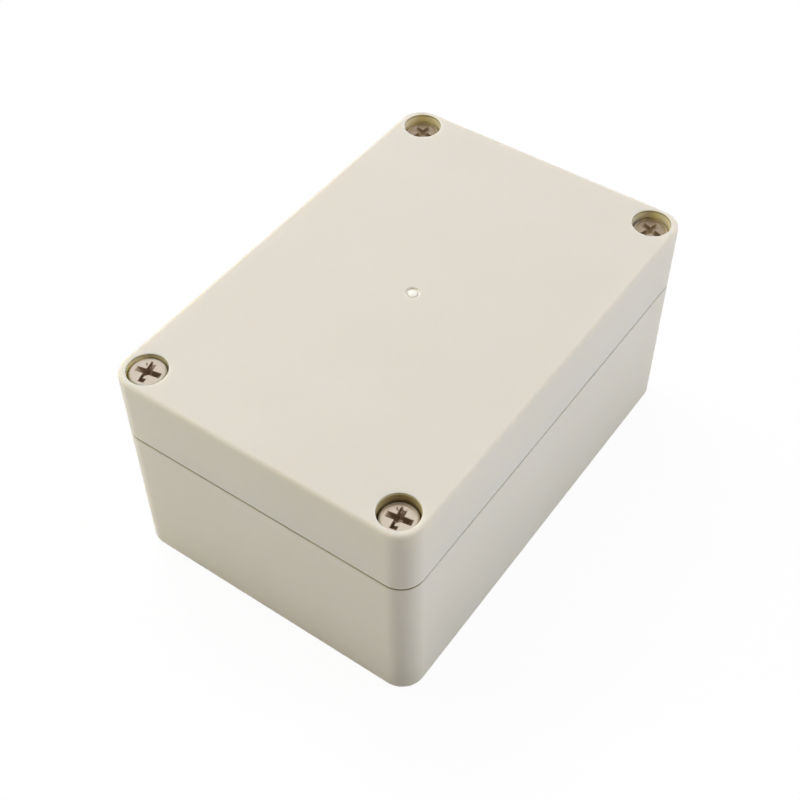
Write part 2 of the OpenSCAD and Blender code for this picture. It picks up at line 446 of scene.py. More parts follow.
class Moulding:
    """Collects the faces of one closed piece, and turns them into an object."""

    def __init__(self) -> None:
        """Starts with no faces."""
        self.mesh = bmesh.new()
        self.tone = self.mesh.verts.layers.float.new("tone")

    def sweep(self, outline: Outline, *runs: list[Point] | Tone) -> tuple[Ring, Ring]:
        """Carries an outline along a section, as a mould's wall follows its plan.

        Args:
            outline: Gives the plan for a size, such as a radius or an inset.
            runs: The section in runs, each a list of pairs of that size and a height. A tone between
                runs is how those after it look, and the first are open.

        Returns:
            The first and the last ring of the wall.
        """
        rings: list[Ring] = []
        tone = Tone.OPEN
        for run in runs:
            if isinstance(run, Tone):
                tone = run
                continue
            for size, z in run:
                ring = [self.mesh.verts.new((x, y, z)) for x, y in outline(size)]
                for vert in ring:
                    vert[self.tone] = tone.value
                rings.append(ring)
        for lower, upper in zip(rings, rings[1:]):
            for k, corner in enumerate(lower):
                after = (k + 1) % len(lower)
                self.mesh.faces.new((corner, lower[after], upper[after], upper[k]))
        return rings[0], rings[-1]

    def plate(self, border: Ring, holes: Iterable[Ring] = ()) -> None:
        """Fills a flat face inside a border, round its holes.

        Args:
            border: The outer ring.
            holes: The rings that stay open.
        """
        edges = []
        for ring in (border, *holes):
            for first, second in zip(ring, ring[1:] + ring[:1]):
                edges.append(self.mesh.edges.get((first, second)) or self.mesh.edges.new((first, second)))
        bmesh.ops.triangle_fill(self.mesh, use_beauty=True, edges=edges)

    def stud(self, centre: Point, section: list[Point], sides: int = 40) -> Ring:
        """Adds a round post, hole or step with a flat end.

        Args:
            centre: Where its axis is.
            section: Pairs of a radius and a height, from its foot to its end.
            sides: How many sides it has.

        Returns:
            The ring round its foot.
        """
        first, last = self.sweep(circle(*centre, sides), section)
        self.plate(last)
        return first

    def weld(self) -> None:
        """Joins the points of meshes that were added end to end."""
        bmesh.ops.remove_doubles(self.mesh, verts=self.mesh.verts, dist=WELD)

    def object(self, name: str, materials: Sequence[Material], crease: float = 32.0) -> Object:
        """Closes the piece and puts it in the scene, with shading that keeps its flats flat.

        Args:
            name: The object's name.
            materials: Its materials, in the order of the slot numbers.
            crease: The angle in degrees past which an edge stays sharp.

        Returns:
            The new object, at the origin.
        """
        bmesh.ops.recalc_face_normals(self.mesh, faces=self.mesh.faces)
        for face in self.mesh.faces:
            face.smooth = True
        for edge in self.mesh.edges:
            edge.smooth = edge.calc_face_angle(math.pi) < math.radians(crease)
        data = bpy.data.meshes.new(name)
        self.mesh.to_mesh(data)
        self.mesh.free()
        for material in materials:
            data.materials.append(material)
        piece = in_scene(name, data)
        even = piece.modifiers.new("even_shading", "WEIGHTED_NORMAL")
        even.keep_sharp = True
        return piece


@dataclass(frozen=True)
class GateMark:
    """The round dimple and stub that a moulding's gate leaves at the middle of its face."""

    dimple_r: float = 1.4 * MM
    stub_r: float = 1.1 * MM
    depth: float = 0.45 * MM
    soft_r: float = 0.33 * MM
    foot_r: float = 0.1 * MM
    sides: int = 40
    dome_steps: int = 8

    def cut(self, moulding: Moulding, face_z: float, inwards: int) -> Ring:
        """Adds the dimple with its stub.

        Args:
            moulding: The shell that has the mark.
            face_z: The height of the face round it.
            inwards: 1 where the dimple goes up into the shell, -1 where it goes down.

        Returns:
            The ring where the mark meets the face.
        """
        mouth = bend((self.dimple_r + self.soft_r, self.soft_r), self.soft_r, 270, 180, 4)
        foot = bend((self.dimple_r - self.foot_r, self.depth - self.foot_r), self.foot_r, 0, 90, 3)
        ball_r = (self.stub_r**2 + self.depth**2) / (2 * self.depth)
        reach = math.degrees(math.asin(self.stub_r / ball_r))
        dome = []
        for k in range(self.dome_steps, 0, -1):
            angle = math.radians(reach * k / self.dome_steps)
            dome.append((ball_r * math.sin(angle), ball_r * (1 - math.cos(angle))))
        mouth, foot, step, crown = (
            [(r, face_z + inwards * z) for r, z in run] for run in (mouth, foot, dome[:2], dome[2:])
        )
        # The gate's smooth tone, glossy with a painted highlight, goes on the foot and the crown, but not on
        # the step between them.
        runs = (mouth, Tone.SMOOTH, foot, Tone.OPEN, step, Tone.SMOOTH, crown)
        first, last = moulding.sweep(circle(0.0, 0.0, self.sides), *runs)
        moulding.plate(last)
        return first


@dataclass(frozen=True)
class PinMarks:
    """The two faint round steps that the mould's ejector pins leave inside a shell."""

    apart: float
    radius: float = 2.5 * MM
    depth: float = 0.08 * MM

    def cut(self, moulding: Moulding, face_z: float, inwards: int) -> list[Ring]:
        """Adds the two steps to a face, upwards where inwards is 1, and gives their rings on it."""
        section = [(self.radius, face_z), (self.radius, face_z + inwards * self.depth)]
        return [moulding.stud((side * self.apart / 2, 0.0), section) for side in (-1, 1)]


@dataclass(frozen=True)
class Seal:
    """The tongue on the base's rim and the groove round it in the lid, as distances from the cavity."""

    tongue_in: float = 1.0 * MM
    tongue_out: float = 2.0 * MM
    tongue_h: float = 1.3 * MM
    clearance: float = 0.25 * MM
    gasket_h: float = 1.9 * MM
    gasket_clearance: float = 0.1 * MM
    soft_r: float = 0.25 * MM


@dataclass(frozen=True)
class BaseShell:
    """The tub of the box, with its columns, tongue, posts and holes."""

    plan: BoxPlan
    seal: Seal
    gate: GateMark
    rim_z: float
    pins: PinMarks = PinMarks(apart=44.0 * MM)
    bottom_r: float = 1.0 * MM
    lip_r: float = 0.4 * MM
    inner_r: float = 0.25 * MM
    # Width of the band over which the lip's painted shade fades.
    painted_band: float = 0.3 * MM
    floor: float = 2.5 * MM
    foot_r: float = 0.8 * MM
    insert_r: float = 2.8 * MM
    insert_len: float = 8.0 * MM
    core_r: float = 2.3 * MM
    core_z: float = 4.0 * MM
    post_x: float = 36.0 * MM
    post_y: float = 20.0 * MM
    post_r: float = 3.0 * MM
    post_h: float = 5.0 * MM
    post_foot_r: float = 0.5 * MM
    post_edge_r: float = 0.2 * MM
    pilot_r: float = 1.25 * MM
    pilot_depth: float = 6.0 * MM
    hole_sides: int = 48

    def build(self, abs_plastic: Material) -> Object:
        """Builds the base.

        Args:
            abs_plastic: Its material.

        Returns:
            The finished piece.
        """
        shell = Moulding()
        underside, rim_outer = self._outside(shell)
        shell.plate(underside, [self.gate.cut(shell, 0.0, 1)])
        tongue_foot, floor_edge = self._inside(shell)
        shell.plate(rim_outer, [tongue_foot, *self._insert_holes(shell)])
        shell.plate(floor_edge, [*self._posts(shell), *self.pins.cut(shell, self.floor, -1)])
        return shell.object("base_shell", [abs_plastic])

    def _outside(self, shell: Moulding) -> tuple[Ring, Ring]:
        """Adds the outer wall.

        Args:
            shell: The base.

        Returns:
            The rings round the underside and round the rim.
        """
        lip = bend((self.lip_r, self.rim_z - self.lip_r), self.lip_r, 180, 90, 6)
        foot = bend((self.bottom_r, self.bottom_r), self.bottom_r, 270, 180, 8)
        unpainted = [(self.lip_r + self.painted_band, self.rim_z)]
        # Painted shade: the wall a little darker towards the bottom, and the top of the lip darker and
        # olive, fading over a band on the rim.
        runs = (Tone.FOOT, foot, Tone.OPEN, lip[:4], Tone.LIP, lip[4:], Tone.OPEN, unpainted)
        return shell.sweep(self.plan.outside, *runs)

    def _inside(self, shell: Moulding) -> tuple[Ring, Ring]:
        """Adds the tongue, the inner rim and the cavity's wall.

        Args:
            shell: The base.

        Returns:
            The rings at the tongue's outer foot and round the floor.
        """
        seal, top = self.seal, self.rim_z + self.seal.tongue_h
        soft = seal.soft_r
        section = [(seal.tongue_out, self.rim_z)]
        section += bend((seal.tongue_out - soft, top - soft), soft, 0, 90, 4)
        section += bend((seal.tongue_in + soft, top - soft), soft, 90, 180, 4)
        section += [(seal.tongue_in, self.rim_z)]
        section += bend((self.inner_r, self.rim_z - self.inner_r), self.inner_r, 90, 180, 4)
        section += bend((-self.foot_r, self.floor + self.foot_r), self.foot_r, 0, -90, 5)
        return shell.sweep(self.plan.cavity, section)

    def _insert_holes(self, shell: Moulding) -> list[Ring]:
        """Adds the stepped holes that hold the thread inserts.

        Args:
            shell: The base.

        Returns:
            The rings round their mouths.
        """
        step_z = self.rim_z - self.insert_len
        section = [(self.insert_r, self.rim_z), (self.insert_r, step_z)]
        section += [(self.core_r, step_z), (self.core_r, self.core_z)]
        return [shell.stud(axis, section, self.hole_sides) for axis in self.plan.screws()]

    def _posts(self, shell: Moulding) -> list[Ring]:
        """Adds the board posts with their pilot holes.

        Args:
            shell: The base.

        Returns:
            The rings round their feet.
        """
        top, foot, edge = self.floor + self.post_h, self.post_foot_r, self.post_edge_r
        section = bend((self.post_r + foot, self.floor + foot), foot, 270, 180, 4)
        section += bend((self.post_r - edge, top - edge), edge, 0, 90, 3)
        section += [(self.pilot_r, top), (self.pilot_r, top - self.pilot_depth)]
        return [shell.stud((sx * self.post_x, sy * self.post_y), section) for sx, sy in SIGNS]


@dataclass(frozen=True)
class LidShell:
    """The cap of the box, with its counterbored bosses and the groove for the gasket."""

    plan: BoxPlan
    seal: Seal
    gate: GateMark
    rim_z: float
    skirt_z: float
    face_z: float
    seat_z: float
    pins: PinMarks = PinMarks(apart=60.0 * MM)
    edge_r: float = 0.8 * MM
    lip_r: float = 0.2 * MM
    # Width of the band over which the lip's painted shade fades.
    painted_band: float = 0.3 * MM
    roof: float = 2.5 * MM
    roof_r: float = 0.6 * MM
    bore_r: float = 4.0 * MM
    mouth_r: float = 0.2 * MM
    # Depths where the bores' painted light and shade change.
    pale_depth: float = 0.7 * MM
    dark_depth: float = 1.7 * MM
    shank_hole_r: float = 2.25 * MM
    landing_r: float = 3.1 * MM
    bore_sides: int = 64

    def build(self, abs_plastic: Material) -> Object:
        """Builds the lid.

        Args:
            abs_plastic: Its material.

        Returns:
            The finished piece.
        """
        shell = Moulding()
        skirt, face = self._outside(shell)
        groove_edge, roof_edge = self._inside(shell)
        landings, mouths = self._screw_holes(shell)
        shell.plate(face, [self.gate.cut(shell, self.face_z, -1), *mouths])
        shell.plate(skirt, [groove_edge, *landings])
        shell.plate(roof_edge, self.pins.cut(shell, self.face_z - self.roof, 1))
        return shell.object("lid_shell", [abs_plastic])

    def _outside(self, shell: Moulding) -> tuple[Ring, Ring]:
        """Adds the outer wall.

        Args:
            shell: The lid.

        Returns:
            The rings round the skirt and round the top face.
        """
        lip = bend((self.lip_r, self.skirt_z + self.lip_r), self.lip_r, 270, 180, 4)
        unpainted = [(self.lip_r + self.painted_band, self.skirt_z)]
        brow = bend((self.edge_r, self.face_z - self.edge_r), self.edge_r, 180, 90, 8)
        # Painted shade at the parting line: the lowest part of the lip darker and olive, fading over a band
        # underneath.
        return shell.sweep(self.plan.outside, unpainted, Tone.LIP, lip[:2], Tone.OPEN, lip[2:], brow)

    def _inside(self, shell: Moulding) -> tuple[Ring, Ring]:
        """Adds the groove, the inner rim and the cavity's wall.

        Args:
            shell: The lid.

        Returns:
            The rings at the groove's outer edge and round the roof.
        """
        seal, lip = self.seal, self.lip_r
        top = self.rim_z + seal.tongue_h + seal.gasket_h
        outer, inner = seal.tongue_out + seal.clearance, seal.tongue_in - seal.clearance
        ceiling = self.face_z - self.roof
        section = [(outer, self.skirt_z), (outer, top), (inner, top), (inner, self.skirt_z)]
        section += bend((lip, self.skirt_z + lip), lip, 270, 180, 4)
        section += bend((-self.roof_r, ceiling - self.roof_r), self.roof_r, 0, 90, 5)
        return shell.sweep(self.plan.cavity, section)

    def _screw_holes(self, shell: Moulding) -> tuple[list[Ring], list[Ring]]:
        """Adds the landing pads, shank holes and counterbores, from below to above.

        Args:
            shell: The lid.

        Returns:
            The rings round the landing pads, and those round the counterbores' mouths.
        """
        landings, mouths = [], []
        below = [(self.landing_r, self.skirt_z), (self.landing_r, self.rim_z)]
        below += [(self.shank_hole_r, self.rim_z), (self.shank_hole_r, self.seat_z)]
        mouth = bend((self.bore_r + self.mouth_r, self.face_z - self.mouth_r), self.mouth_r, 180, 90, 4)
        deep = [(self.bore_r, z) for z in (self.seat_z, self.face_z - self.dark_depth)]
        upper = [(self.bore_r, self.face_z - self.pale_depth)]
        for corner, (x, y) in zip(Corner, self.plan.screws()):
            # Painted shade down the nearest bore, darker and olive; the other three bores' walls get a
            # paler, warmer painted light, and each mouth's first ring the lip's painted shade.
            deep_shade = corner is Corner.FRONT_LEFT
            wall, well = (Tone.WALL, Tone.WELL) if deep_shade else (Tone.PALE, Tone.PALE)
            runs = (below, well, deep, wall, upper, Tone.LIP, mouth[:1], Tone.OPEN, mouth[1:])
            landing, top = shell.sweep(circle(x, y, self.bore_sides), *runs)
            landings.append(landing)
            mouths.append(top)
        return landings, mouths


class GeometryTree:
    """A geometry node tree made in the script, with named inputs for its sizes."""

    def __init__(self, name: str, sizes: dict[str, float], material: Material) -> None:
        """Makes the tree's inputs and output.

        Args:
            name: The tree's name.
            sizes: The named sizes, with their values.
            material: The material that the result gets.
        """
        self.sizes = sizes
        self.material = material
        self.tree = bpy.data.node_groups.new(name, "GeometryNodeTree")
        self.tree.interface.new_socket("Path", in_out="INPUT", socket_type="NodeSocketGeometry")
        self.identifiers = {}
        for size in sizes:
            socket = self.tree.interface.new_socket(size, in_out="INPUT", socket_type="NodeSocketFloat")
            self.identifiers[size] = socket.identifier
        self.tree.interface.new_socket("Geometry", in_out="OUTPUT", socket_type="NodeSocketGeometry")
        self.inputs = self.add("NodeGroupInput")

    def add(self, kind: str, inputs: Inputs | None = None, **settings: object) -> bpy_prop_collection:
        """Adds a node to this tree and gives its outputs."""
        return add_node(self.tree, kind, inputs, **settings).outputs

    def mesh(self, geometry: NodeSocket, path: Sequence[Point] = ()) -> Mesh:
        """Ends the tree at a geometry and evaluates it to a plain mesh.

        Args:
            geometry: The socket that carries the result.
            path: The closed outline that the Path input carries.

        Returns:
            A mesh of its own, with no modifier behind it.
        """
        real = self.add("GeometryNodeRealizeInstances", {"Geometry": geometry})[0]
        dressed = self.add("GeometryNodeSetMaterial", {"Geometry": real, "Material": self.material})[0]
        self.add("NodeGroupOutput", {0: dressed})
        outline = bpy.data.meshes.new(self.tree.name)
        count = len(path)
        outline.from_pydata([(x, y, 0.0) for x, y in path], [(k, (k + 1) % count) for k in range(count)], [])
        holder = in_scene(self.tree.name, outline)
        modifier = holder.modifiers.new("build", "NODES")
        modifier.node_group = self.tree
        for size, value in self.sizes.items():
            modifier[self.identifiers[size]] = value
        return evaluated_mesh(holder)


@dataclass(frozen=True)
class Thread:
    """A right-handed thread on a round wall: the wall's rings are pushed out along a helix."""

    root_r: float
    crest_r: float
    length: float
    pitch: float = 0.7 * MM
    plain: float = 0.0
    sides: int = 48
    rings_a_turn: int = 10
    steepness: float = 1.3
    first_turn: float = 99.0

    def wall(self, material: Material) -> Mesh:
        """Builds the threaded wall from z = 0 down, open at both ends.

        Args:
            material: Its material.

        Returns:
            A plain mesh.
        """
        sizes = {"Root": self.root_r, "Crest": self.crest_r, "Length": self.length}
        tree = GeometryTree("thread_wall", {**sizes, "Pitch": self.pitch, "Plain": self.plain}, material)
        known = {name: tree.inputs[name] for name in tree.sizes}
        wall = {
            "Vertices": self.sides,
            "Side Segments": int(self.length / self.pitch * self.rings_a_turn),
            "Radius": known["Root"],
            "Depth": known["Length"],
        }
        tube = tree.add("GeometryNodeMeshCylinder", wall, fill_type="NONE")
        place = tree.add("GeometryNodeInputPosition")[0]
        known.update(tree.add("ShaderNodeSeparateXYZ", {0: place}).items())
        # Each step works on sizes, numbers and the steps before it, and a ramp goes from 0 to 1.
        steps = (
            ("angle", "ARCTAN2", "Y", "X"),
            ("turned", "DIVIDE", "angle", 2 * math.pi),
            ("half", "MULTIPLY", "Length", 0.5),
            ("depth", "SUBTRACT", "half", "Z"),
            ("pitches", "DIVIDE", "depth", "Pitch"),
            ("climbed", "SUBTRACT", self.first_turn, "pitches"),
            ("wound", "SUBTRACT", "climbed", "turned"),
            ("phase", "FRACT", "wound"),
            ("doubled", "MULTIPLY", "phase", 2.0),
            ("centred", "SUBTRACT", "doubled", 1.0),
            ("off_crest", "ABSOLUTE", "centred"),
            ("ridge", "SUBTRACT", 1.0, "off_crest"),
            ("steep", "MULTIPLY", "ridge", self.steepness),
            ("flank", "MINIMUM", "steep", 1.0),
            ("full_from", "ADD", "Plain", "Pitch"),
            ("fade_in", "RAMP", "depth", "Plain", "full_from"),
            ("to_tip", "SUBTRACT", "Length", "depth"),
            ("fade_out", "RAMP", "to_tip", 0.0, "Pitch"),
            ("height", "SUBTRACT", "Crest", "Root"),
            ("fade", "MULTIPLY", "fade_in", "fade_out"),
            ("rise", "MULTIPLY", "height", "fade"),
            ("raised", "MULTIPLY", "flank", "rise"),
            ("radius", "ADD", "Root", "raised"),
            ("grown", "DIVIDE", "radius", "Root"),
            ("moved_x", "MULTIPLY", "X", "grown"),
            ("moved_y", "MULTIPLY", "Y", "grown"),
        )
        for name, operation, *terms in steps:
            inputs = {k: known.get(term, term) for k, term in enumerate(terms)}
            if operation == "RAMP":
                known[name] = tree.add("ShaderNodeMapRange", inputs)[0]
            else:
                known[name] = tree.add("ShaderNodeMath", inputs, operation=operation)[0]
        parts = dict(enumerate((known["moved_x"], known["moved_y"], known["Z"])))
        moved = {"Geometry": tube["Mesh"], "Position": tree.add("ShaderNodeCombineXYZ", parts)[0]}
        mesh = tree.mesh(tree.add("GeometryNodeSetPosition", moved)[0])
        mesh.transform(Matrix.Translation((0.0, 0.0, -self.length / 2)))
        return mesh


@dataclass(frozen=True)
class PunchBlock:
    """One tapered block of a punch, in millimetres: its plan at the head's face and at its foot.

    A plan is its start and end along X, then its start and end along Y.
    """

    mouth: Four
    foot: Four
    depth: float
    bright: bool = False
    bevel: float = 0.12
    turn: float = 0.0
    above: float = 0.3
    most_bright: float = 0.7

    def add(self, punch: bmesh.types.BMesh, head_z: float, shine: float) -> None:
        """Adds the block to a punch.

        Args:
            punch: The mesh that gets it.
            head_z: The height of the head's face, in metres.
            shine: How deep its sides keep the head's finish before the recess's finish, in millimetres.
        """
        share = min(shine, self.most_bright * self.depth) / self.depth
        middle = tuple(m + (f - m) * share for m, f in zip(self.mouth, self.foot))
        flare = self.bevel + self.above
        flared = tuple(edge + side * flare for edge, side in zip(self.mouth, (-1, 1, -1, 1)))
        levels = ((flared, self.above), (self.mouth, -self.bevel), (middle, -share * self.depth))
        turned = Matrix.Rotation(math.radians(self.turn), 4, "Z")
        rings = []
        for (x0, x1, y0, y1), z in (*levels, (self.foot, -self.depth)):
            plan = ((x1, y1), (x0, y1), (x0, y0), (x1, y0))
            corners = [turned @ Vector((x * MM, y * MM, head_z + z * MM)) for x, y in plan]
            rings.append([punch.verts.new(corner) for corner in corners])
        dull = 0 if self.bright else 1
        punch.faces.new(rings[0])
        punch.faces.new(rings[-1][::-1]).material_index = dull
        for level, (upper, lower) in enumerate(zip(rings, rings[1:])):
            for side in range(4):
                after = (side + 1) % 4
                face = punch.faces.new((upper[side], lower[side], lower[after], upper[after]))
                face.material_index = dull if level == 2 else 0


@dataclass(frozen=True)
class CrossPunch:
    """The punch that forms a cross recess and its small mark, all sizes in millimetres.

    Where a driver has worn it, the arms along X differ: each has a narrow slot beside a shallow bright step.
    """

    shine: float
    worn: bool
    span: float = 2.5
    width: float = 0.62
    foot_span: float = 1.0
    foot_width: float = 0.42
    depth: float = 1.9
    core: float = 0.95
    mark_at: float = 1.9
    mark_turn: float = 34.0
    mark_shine: float = 0.03

    def blocks(self) -> list[PunchBlock]:
        """The blocks that make up the punch.

        Returns:
            The arms along Y, the core, and then the arms along X.
        """
        span, width, foot, narrow, past = self.span, self.width, self.foot_span, self.foot_width, 0.3
        reach = self.core - 0.15 if self.worn else self.core
        core = (-reach, reach, -reach, reach)
        blocks = [
            PunchBlock((-width, width, -past, span), (-narrow, narrow, -past, foot), self.depth - 0.02),
            PunchBlock((-width, width, -span, past), (-narrow, narrow, -foot, past), self.depth - 0.04),
            PunchBlock(core, (-0.45, 0.45, -0.45, 0.45), self.depth + 0.25, turn=45.0),
        ]
        if not self.worn:
            return blocks + [
                PunchBlock((-past, span, -width, width), (-past, foot, -narrow, narrow), self.depth),
                PunchBlock((-span, past, -width, width), (-foot, past, -narrow, narrow), self.depth - 0.06),
            ]
        return blocks + [
            PunchBlock((-past, span - 0.45, -width, width), (-past, foot, -narrow, narrow), self.depth),
            PunchBlock((1.5, span, 0.2, width), (1.5, span - 0.4, 0.25, narrow + 0.1), 0.8, bevel=0.05),
            PunchBlock((1.5, span + 0.05, -width, 0.25), (1.5, span - 0.2, -narrow, 0.25), 0.2, True, 0.03),
            PunchBlock((-1.9, past, 0.1, width), (-1.2, past, 0.15, narrow), self.depth - 0.15, bevel=0.05),
            PunchBlock((-1.8, -0.3, -width, 0.15), (-1.75, -0.3, 0.1, 0.15), 0.24, True, 0.03),
            PunchBlock((-span, -1.7, -width, width), (-2.1, -1.7, -narrow, narrow), 1.1),
        ]

    def mark(self) -> PunchBlock:
        """Lays out the small mark beside the cross.

        Returns:
            The block that makes it.
        """
        mouth = (self.mark_at - 0.4, self.mark_at + 0.4, -0.14, 0.14)
        foot = (self.mark_at - 0.3, self.mark_at + 0.3, -0.1, 0.1)
        return PunchBlock(mouth, foot, 0.25, bevel=0.02, turn=self.mark_turn)

    def build(self, head_z: float, nickel: Material, recess: Material) -> Object:
        """Builds the punch over a head.

        Args:
            head_z: The height of the head's top.
            nickel: The bright finish of the bevels and upper sides.
            recess: The finish further down, whose darker colour on the worn screws is painted shade deep in
                the cross.

        Returns:
            The punch, which the caller removes.
        """
        punch = bmesh.new()
        for block in self.blocks():
            block.add(punch, head_z, self.shine)
        if self.worn:
            self.mark().add(punch, head_z, self.mark_shine)
        bmesh.ops.recalc_face_normals(punch, faces=punch.faces)
        data = bpy.data.meshes.new("cross_punch")
        punch.to_mesh(data)
        punch.free()
        data.materials.append(nickel)
        data.materials.append(recess)
        return in_scene("cross_punch", data)


@dataclass(frozen=True)
class ScrewFinish:
    """The look of one screw: its three finishes, how deep its cross shines, and whether it is worn."""

    nickel: Material
    edge: Material
    recess: Material
    shine: float
    worn: bool

    def materials(self) -> list[Material]:
        """The materials in the order of the slots."""
        return [self.nickel, self.recess, self.edge]


@dataclass(frozen=True)
class LidScrew:
    """A nickel-plated pan head screw with a cross recess and a rolled thread."""

    corner: Corner
    turn: float
    finish: ScrewFinish
    cross_span: float = 2.5
    head_r: float = 3.6 * MM
    head_h: float = 2.6 * MM
    edge_r: float = 0.5 * MM
    foot_r: float = 0.15 * MM
    crown: float = 0.05 * MM
    length: float = 20.0 * MM
    crest_r: float = 1.93 * MM
    root_r: float = 1.58 * MM
    neck: float = 1.0 * MM
    crown_shares: tuple[float, ...] = (0.8, 0.6, 0.4, 0.2)
    sides: int = 48

    def build(self) -> Object:
        """Builds the screw at its corner.

        Returns:
            The finished piece.
        """
        low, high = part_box(self.corner.named("lid_screw"))
        seat = Vector(((low.x + high.x) / 2, (low.y + high.y) / 2, high.z - self.head_h))
        thread = Thread(self.root_r, self.crest_r, self.length, plain=self.neck, sides=self.sides)
        screw = Moulding()
        screw.mesh.from_mesh(self._punched_head())
        collar = [
            face
            for face in screw.mesh.faces
            if all(v.co.xy.length < self.root_r + HAIR and v.co.z < self.foot_r for v in face.verts)
        ]
        bmesh.ops.delete(screw.mesh, geom=collar, context="FACES_ONLY")
        screw.mesh.from_mesh(thread.wall(self.finish.nickel))
        screw.weld()
        tip = [edge for edge in screw.mesh.edges if edge.is_boundary]
        bmesh.ops.contextual_create(screw.mesh, geom=tip)
        piece = screw.object(self.corner.named("screw"), self.finish.materials(), crease=30.0)
        turned = Matrix.Rotation(math.radians(self.turn), 4, "Z")
        piece.data.transform(Matrix.Translation(seat) @ turned)
        return piece

    def _punched_head(self) -> Mesh:
        """Builds the head over z = 0 and punches the cross into it.

        Returns:
            The head as a plain mesh.
        """
        finish = self.finish
        head = Moulding()
        brow = self.head_h - self.crown - self.edge_r
        section = [(self.root_r, 0.0), (self.head_r - self.foot_r, 0.0), (self.head_r, self.foot_r)]
        section += bend((self.head_r - self.edge_r, brow), self.edge_r, 0, 85, 6)
        rim_r, rim_z = section[-1]
        for share in self.crown_shares:
            section.append((rim_r * share, rim_z + (self.head_h - rim_z) * (1 - share**2)))
        first, last = head.sweep(circle(0.0, 0.0, self.sides), section)
        head.mesh.faces.new(last)
        head.mesh.faces.new(first)
        # The rounded rim takes the edge finish, whose lighter colour is a painted highlight.
        for face in head.mesh.faces:
            if face.calc_center_median().xy.length > rim_r - HAIR:
                face.material_index = 2
        blank = head.object("screw_blank", finish.materials())
        blank.modifiers.clear()
        punch = CrossPunch(finish.shine, finish.worn, self.cross_span)
        cutter = punch.build(self.head_h, finish.nickel, finish.recess)
        boolean = blank.modifiers.new("cross", "BOOLEAN")
        boolean.operation = "DIFFERENCE"
        boolean.object = cutter
        boolean.solver = "EXACT"
        boolean.use_self = True
        boolean.material_mode = "TRANSFER"
        data = evaluated_mesh(blank)
        bpy.data.objects.remove(cutter)
        return data


@dataclass(frozen=True)
class ThreadInsert:
    """A brass bush with two knurled bands, pressed into a column of the base."""

    corner: Corner
    bore_r: float = 2.04 * MM
    crest_r: float = 2.0 * MM
    outer_r: float = 2.8 * MM
    waist_r: float = 2.4 * MM
    waist: float = 1.6 * MM
    bevel: float = 0.2 * MM
    knurls: int = 28
    knurl_depth: float = 0.12 * MM
    sides: int = 48

    def build(self, brass: Material) -> Object:
        """Builds the insert in its column.

        Args:
            brass: Its material.

        Returns:
            The finished piece.
        """
        low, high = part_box(self.corner.named("thread_insert"))
        length = high.z - low.z
        band = (length - self.waist) / 2
        inner, bevel = self.outer_r - self.knurl_depth, self.bevel
        half = [(self.bore_r, bevel), (self.bore_r + bevel, 0.0), (inner - bevel, 0.0)]
        half += [(inner, bevel), (inner, band), (self.waist_r, band)]
        section = [(r, z - length) for r, z in half] + [(r, -z) for r, z in reversed(half)]
        bush = Moulding()
        bush.sweep(circle(0.0, 0.0, self.sides), section)
        thread = Thread(self.bore_r, self.crest_r, length - 2 * bevel, sides=self.sides, rings_a_turn=8)
        bore = thread.wall(brass)
        bore.transform(Matrix.Translation((0.0, 0.0, -bevel)))
        bush.mesh.from_mesh(bore)
        bush.weld()
        knurls = self._knurls(brass, band - 2 * bevel)
        for z in (-band / 2, band / 2 - length):
            copy = knurls.copy()
            copy.transform(Matrix.Translation((0.0, 0.0, z)))
            bush.mesh.from_mesh(copy)
        piece = bush.object(self.corner.named("insert"), [brass])
        piece.data.transform(Matrix.Translation(((low.x + high.x) / 2, (low.y + high.y) / 2, high.z)))
        return piece

    def _knurls(self, brass: Material, height: float) -> Mesh:
        """Builds one band of knurls: a ridge set at each point of a circle.

        Args:
            brass: Their material.
            height: How tall the band is.

        Returns:
            The ridges round z = 0.
        """
        reach = self.outer_r - self.knurl_depth
        sizes = {"Radius": reach, "Height": height, "Depth": self.knurl_depth}
        tree = GeometryTree("insert_knurls", sizes, brass)
        size = tree.inputs
        places = {"Resolution": self.knurls, "Radius": size["Radius"]}
        ring = tree.add("GeometryNodeCurvePrimitiveCircle", places)[0]
        block = {"Vertices": 4, "Side Segments": 1, "Radius": size["Depth"], "Depth": size["Height"]}
        ridge = tree.add("GeometryNodeMeshCylinder", block)[0]
        points = tree.add("GeometryNodeCurveToPoints", {"Curve": ring}, mode="EVALUATED")["Points"]
        return tree.mesh(tree.add("GeometryNodeInstanceOnPoints", {"Points": points, "Instance": ridge})[0])


